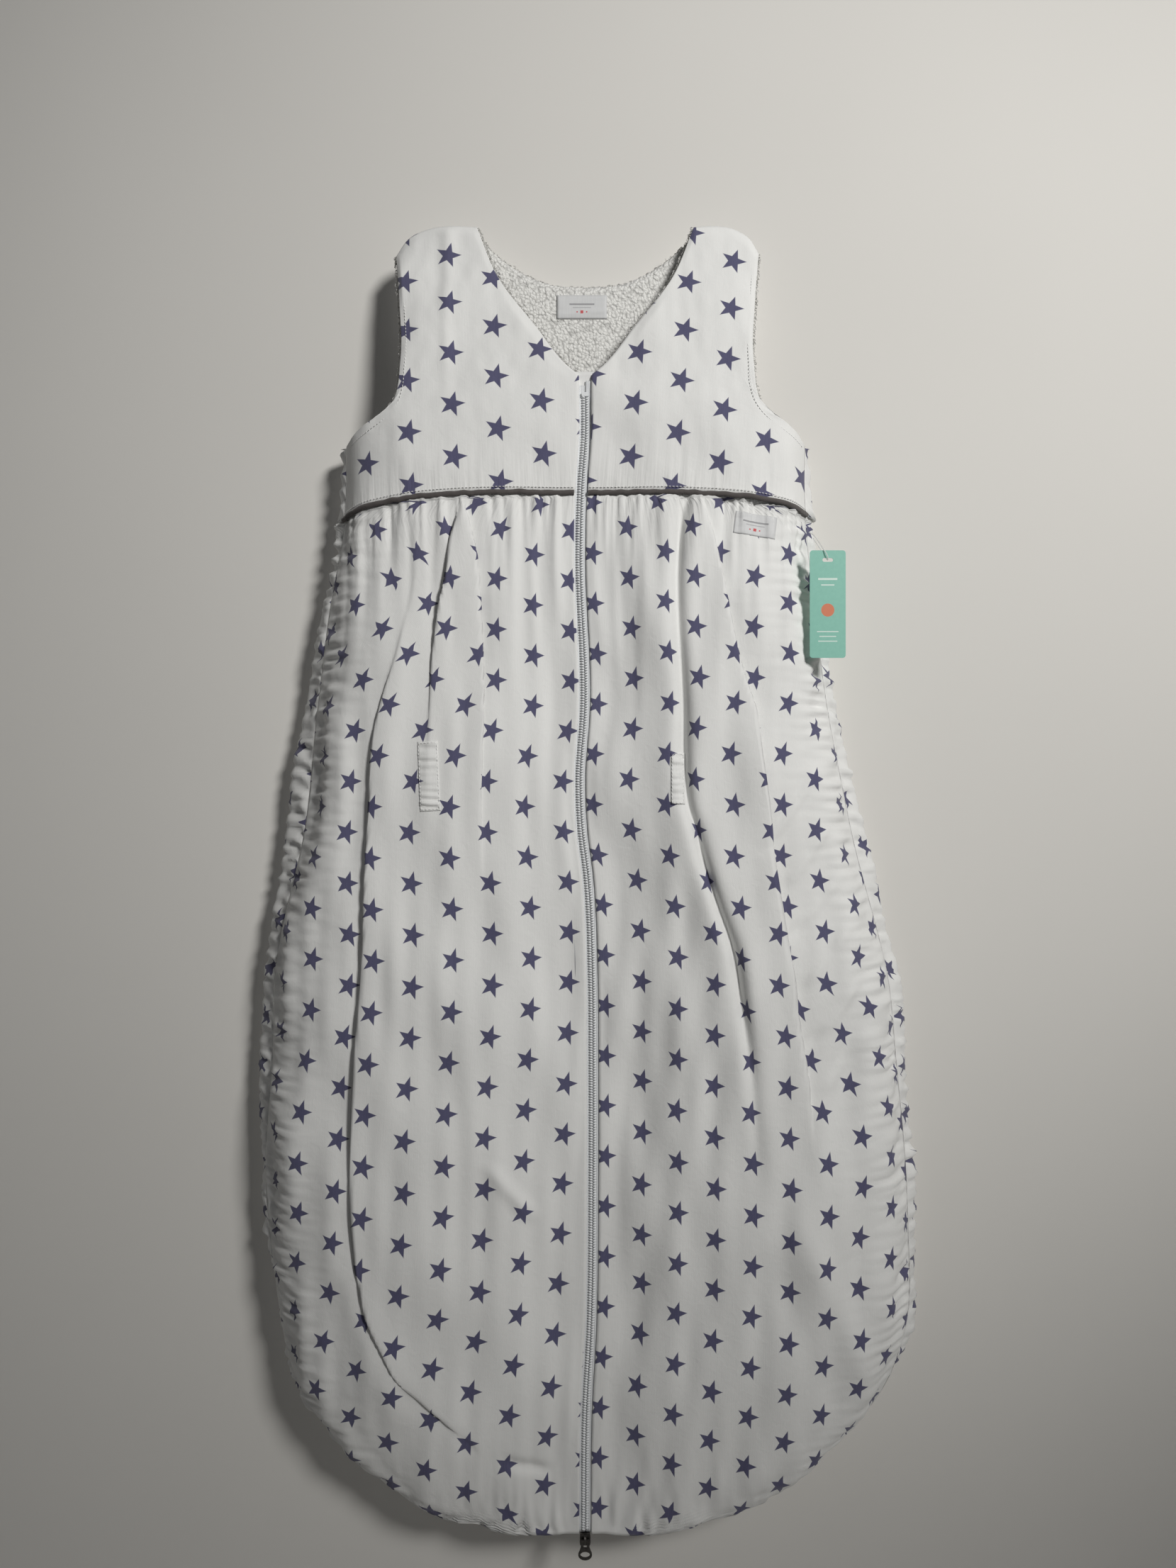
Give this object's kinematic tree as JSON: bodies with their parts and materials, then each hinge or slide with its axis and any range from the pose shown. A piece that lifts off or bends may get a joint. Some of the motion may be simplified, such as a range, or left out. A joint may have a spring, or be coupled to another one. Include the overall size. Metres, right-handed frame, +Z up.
{
  "type": "baby sleeping bag",
  "caption": "Sleeveless padded baby sleeping bag, hung up, with piped yoke, round-to-V neck, pear-shaped skirt and a front zipper that closes downward at the hem.",
  "frame": {"origin": "where the middle of the hanger sits: level with the middle of the shoulder seams, midway across and midway between front and back", "axes": "+Z up, the front faces -Y, +X to the right of someone who looks at the front"},
  "size_m": [0.572, 0.0869, 1.1327],
  "materials": {
    "printed_cotton": "plain woven cotton, printed with scattered dark stars",
    "polyester_wadding": "loose lofted fibre",
    "terry_lining": "loop pile",
    "piping": "bias-cut jersey over cord",
    "zip_tape": "woven tape",
    "zip_coil": "moulded monofilament coil",
    "zip_stop": "moulded on the tape",
    "dark_metal": "dark plated die casting, worn at the edges",
    "label_satin": "woven satin",
    "tag_card": "coated card",
    "tag_loop": "clear nylon thread"
  },
  "bodies": {
    "root": {"back_lining": "terry_lining", "front_left_lining": "terry_lining", "front_right_lining": "terry_lining", "harness_patch_left": "printed_cotton", "harness_patch_right": "printed_cotton", "hem_tape": "zip_tape", "neck_label": "label_satin", "piping_front_left": "piping", "piping_front_right": "piping", "side_label": "label_satin", "skirt_back_shell": "printed_cotton", "skirt_back_wadding": "polyester_wadding", "skirt_front_left_shell": "printed_cotton", "skirt_front_left_wadding": "polyester_wadding", "skirt_front_right_shell": "printed_cotton", "skirt_front_right_wadding": "polyester_wadding", "yoke_back_shell": "printed_cotton", "yoke_back_wadding": "polyester_wadding", "yoke_front_left_shell": "printed_cotton", "yoke_front_left_wadding": "polyester_wadding", "yoke_front_right_shell": "printed_cotton", "yoke_front_right_wadding": "polyester_wadding", "zip_guard": "printed_cotton", "zipper_coil_left": "zip_coil", "zipper_coil_right": "zip_coil", "zipper_hem_stops": "zip_stop", "zipper_neck_stop": "zip_stop", "zipper_tape_left": "zip_tape", "zipper_tape_right": "zip_tape"},
    "slider": {"zipper_slider": "dark_metal"},
    "pull": {"zipper_pull": "dark_metal"},
    "tag": {"tag_card": "tag_card", "tag_loop": "tag_loop"}
  },
  "joints": [
    {"name": "zipper_slide", "type": "slide", "parent": "root", "child": "slider", "axis": [0, 0, 1], "range_m": [0, 0.954], "deforming": ["zipper_coil_left", "zipper_coil_right", "zipper_tape_left", "zipper_tape_right"]},
    {"name": "pull_swing", "type": "hinge", "parent": "slider", "child": "pull", "pos_m": [0, -0.0401, -1.1026], "axis": [-1, 0, 0], "range_deg": [0, 170]},
    {"name": "tag_swing", "type": "hinge", "parent": "root", "child": "tag", "pos_m": [0.1905, -0.0283, -0.2535], "axis": [-1, 0, 0], "range_deg": [0, 100]}
  ]
}
